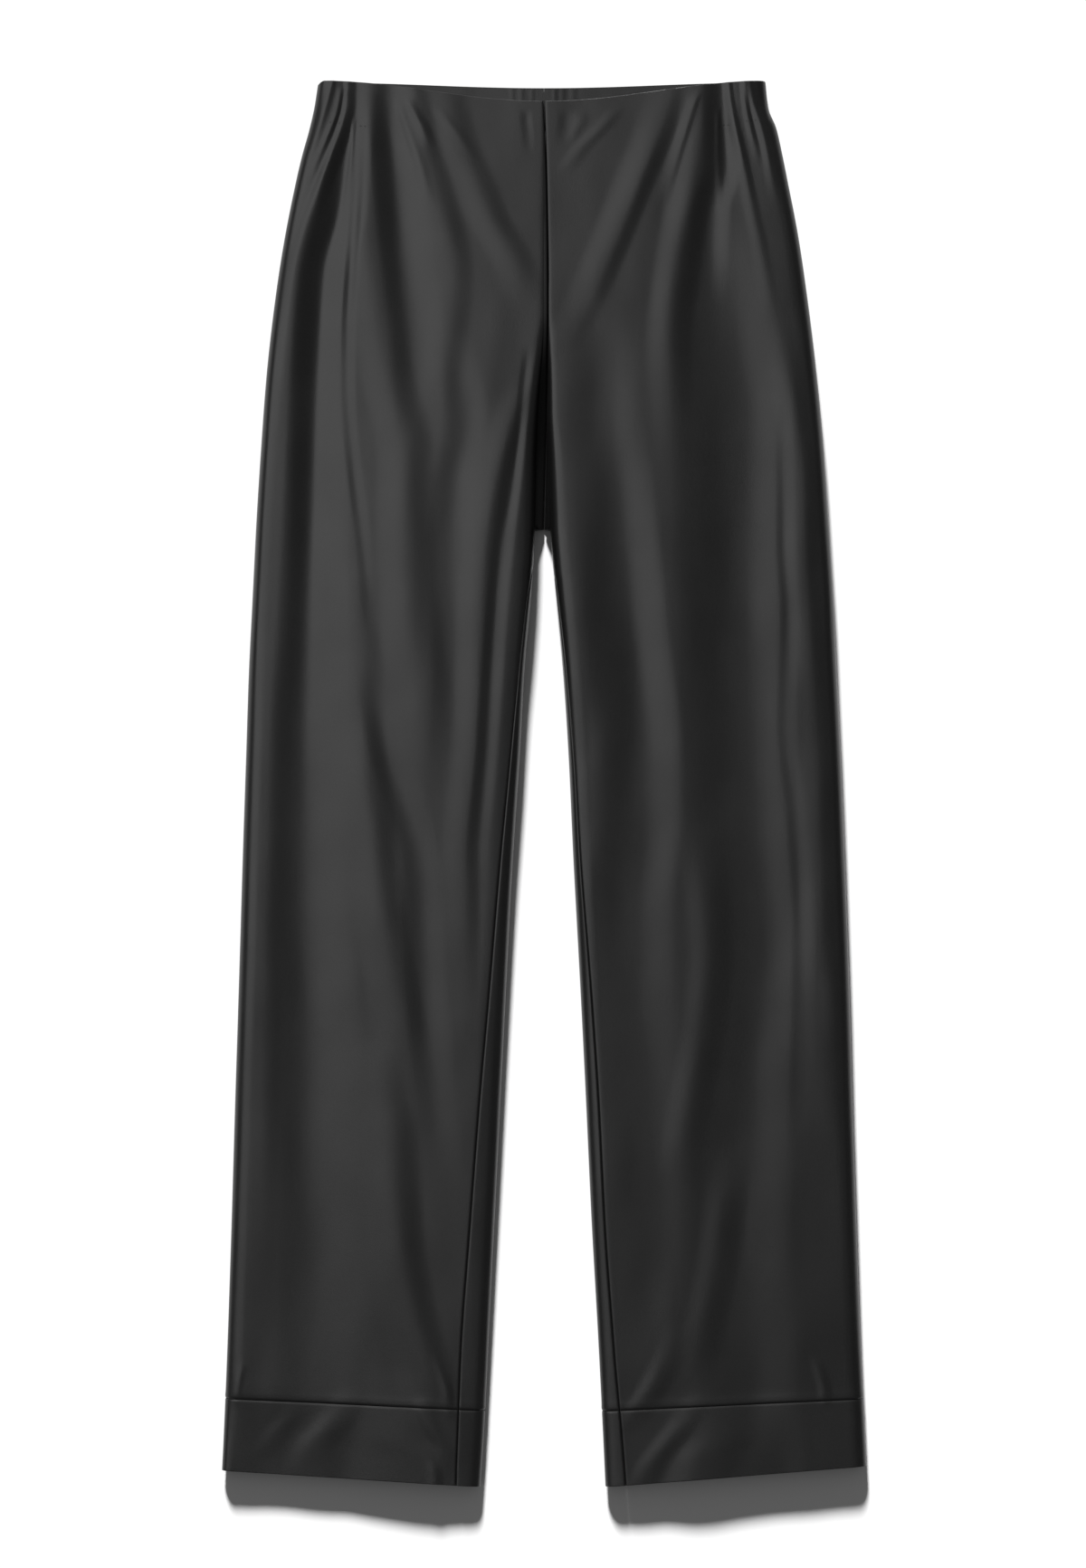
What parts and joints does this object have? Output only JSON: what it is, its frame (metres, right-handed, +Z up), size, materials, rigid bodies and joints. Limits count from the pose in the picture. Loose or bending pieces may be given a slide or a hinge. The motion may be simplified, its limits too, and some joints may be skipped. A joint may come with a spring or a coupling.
{
  "type": "faux leather leggings",
  "caption": "Pull-on faux leather leggings laid flat front up, with straight full-length legs, deep hem bands, a gathered elastic waist and a centre front seam.",
  "frame": {"origin": "on the floor under the middle of the garment's outline", "axes": "+Y from the hems towards the waist, +X towards the wearer's left leg, +Z up out of the front"},
  "size_m": [0.4863, 1.06, 0.0226],
  "materials": {
    "faux_leather": "near-black coated faux leather with a fine grain and a soft satin shine",
    "waist_inside": "near-black faux leather turned down inside the back of the waist, satin"
  },
  "bodies": {
    "root": {"front_panel_right": "faux_leather", "front_panel_left": "faux_leather", "back_panel_right": "faux_leather", "back_panel_left": "faux_leather", "hem_band_front_right": "faux_leather", "hem_band_front_left": "faux_leather", "hem_band_back_right": "faux_leather", "hem_band_back_left": "faux_leather", "waist_casing_right": "waist_inside", "waist_casing_left": "waist_inside"}
  },
  "joints": []
}
